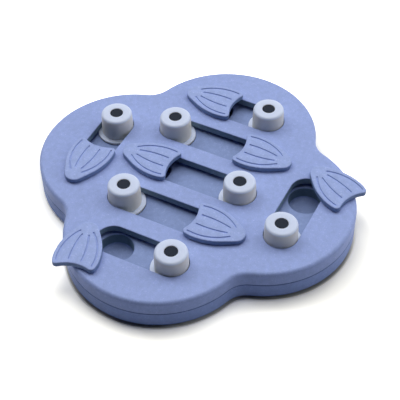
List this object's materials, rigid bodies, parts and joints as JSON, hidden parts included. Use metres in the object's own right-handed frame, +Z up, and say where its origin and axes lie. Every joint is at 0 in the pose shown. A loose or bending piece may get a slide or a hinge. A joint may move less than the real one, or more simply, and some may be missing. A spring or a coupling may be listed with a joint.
{
  "type": "dog puzzle feeder toy",
  "caption": "Four-lobed slide-and-swivel treat puzzle for dogs: pegs slide in slots and fish-tail flippers swing over hidden treat wells.",
  "frame": {"origin": "on the floor under the centre of the four-lobed board", "axes": "+Z up, the long slots run along X, +Y to the back"},
  "size_m": [0.261, 0.261, 0.0411],
  "materials": {
    "shell": "fine matt moulding, periwinkle blue",
    "flipper": "fine matt moulding, periwinkle blue like the shell",
    "peg": "satin pale ice-blue moulding",
    "pupil": "dark slate moulding",
    "steel": "zinc-plated steel",
    "rubber": "dark soft rubber"
  },
  "bodies": {
    "board": {"top_plate": "shell", "base_tray": "shell", "case_screws": "steel", "foot_left": "rubber", "foot_right": "rubber", "foot_back": "rubber", "foot_front": "rubber"},
    "peg_left": {"slider_left": "peg", "pupil_left": "pupil"},
    "flap_left": {"flipper_left": "flipper", "pivot_washer_left": "steel", "pivot_screw_left": "steel"},
    "peg_back": {"slider_back": "peg", "pupil_back": "pupil"},
    "flap_back": {"flipper_back": "flipper", "pivot_washer_back": "steel", "pivot_screw_back": "steel"},
    "peg_inner_back": {"slider_inner_back": "peg", "pupil_inner_back": "pupil"},
    "flap_inner_back": {"flipper_inner_back": "flipper", "pivot_washer_inner_back": "steel", "pivot_screw_inner_back": "steel"},
    "peg_centre": {"slider_centre": "peg", "pupil_centre": "pupil"},
    "flap_centre": {"flipper_centre": "flipper", "pivot_washer_centre": "steel", "pivot_screw_centre": "steel"},
    "peg_inner_front": {"slider_inner_front": "peg", "pupil_inner_front": "pupil"},
    "flap_inner_front": {"flipper_inner_front": "flipper", "pivot_washer_inner_front": "steel", "pivot_screw_inner_front": "steel"},
    "peg_right": {"slider_right": "peg", "pupil_right": "pupil"},
    "flap_right": {"flipper_right": "flipper", "pivot_washer_right": "steel", "pivot_screw_right": "steel"},
    "peg_front": {"slider_front": "peg", "pupil_front": "pupil"},
    "flap_front": {"flipper_front": "flipper", "pivot_washer_front": "steel", "pivot_screw_front": "steel"}
  },
  "joints": [
    {"name": "slide_left", "type": "slide", "parent": "board", "child": "peg_left", "axis": [0, -1, 0], "range_m": [0, 0.0194]},
    {"name": "swing_left", "type": "hinge", "parent": "board", "child": "flap_left", "pos_m": [-0.084, -0.0446, 0.0282], "axis": [0, 0, 1], "range_deg": [-42, 130]},
    {"name": "slide_back", "type": "slide", "parent": "board", "child": "peg_back", "axis": [-1, 0, 0], "range_m": [0, 0.0194]},
    {"name": "swing_back", "type": "hinge", "parent": "board", "child": "flap_back", "pos_m": [-0.0446, 0.084, 0.0282], "axis": [0, 0, 1], "range_deg": [-34, 130]},
    {"name": "slide_inner_back", "type": "slide", "parent": "board", "child": "peg_inner_back", "axis": [1, 0, 0], "range_m": [0, 0.0416]},
    {"name": "swing_inner_back", "type": "hinge", "parent": "board", "child": "flap_inner_back", "pos_m": [0.0588, 0.042, 0.0282], "axis": [0, 0, 1], "range_deg": [-20, 22]},
    {"name": "slide_centre", "type": "slide", "parent": "board", "child": "peg_centre", "axis": [-1, 0, 0], "range_m": [0, 0.0416]},
    {"name": "swing_centre", "type": "hinge", "parent": "board", "child": "flap_centre", "pos_m": [-0.0588, 0, 0.0282], "axis": [0, 0, 1], "range_deg": [-22, 22]},
    {"name": "slide_inner_front", "type": "slide", "parent": "board", "child": "peg_inner_front", "axis": [1, 0, 0], "range_m": [0, 0.0416]},
    {"name": "swing_inner_front", "type": "hinge", "parent": "board", "child": "flap_inner_front", "pos_m": [0.0588, -0.042, 0.0282], "axis": [0, 0, 1], "range_deg": [-22, 20]},
    {"name": "slide_right", "type": "slide", "parent": "board", "child": "peg_right", "axis": [0, 1, 0], "range_m": [0, 0.0366]},
    {"name": "swing_right", "type": "hinge", "parent": "board", "child": "flap_right", "pos_m": [0.085, 0.0446, 0.0282], "axis": [0, 0, 1], "range_deg": [-88, 66]},
    {"name": "slide_front", "type": "slide", "parent": "board", "child": "peg_front", "axis": [-1, 0, 0], "range_m": [0, 0.0422]},
    {"name": "swing_front", "type": "hinge", "parent": "board", "child": "flap_front", "pos_m": [-0.0446, -0.0846, 0.0282], "axis": [0, 0, -1], "range_deg": [-111, 53]}
  ]
}
